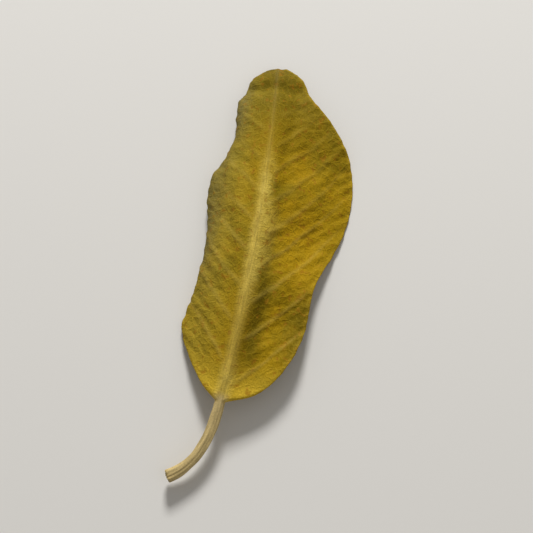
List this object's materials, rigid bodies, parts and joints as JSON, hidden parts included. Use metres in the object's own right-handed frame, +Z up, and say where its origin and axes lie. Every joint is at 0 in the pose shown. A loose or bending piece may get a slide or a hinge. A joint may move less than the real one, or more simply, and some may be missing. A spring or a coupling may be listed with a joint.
{
  "type": "dried moringa leaf",
  "caption": "Dried moringa leaflet with its short bent stalk, folded along the midrib, rolled under at one margin and lying on a surface.",
  "frame": {"origin": "middle of the leaflet's footprint, on the surface it lies on", "axes": "+Y along the midrib from the cut end of the stalk to the tip, +X across the blade to its broad flat half, +Z up, out of the underside of the leaf, which faces up"},
  "size_m": [0.007, 0.0208, 0.0021],
  "materials": {
    "dried_leaf": "matte, ochre to olive, with a paler midrib and a straw-coloured stalk"
  },
  "bodies": {
    "root": {"leaf": "dried_leaf"}
  },
  "joints": []
}
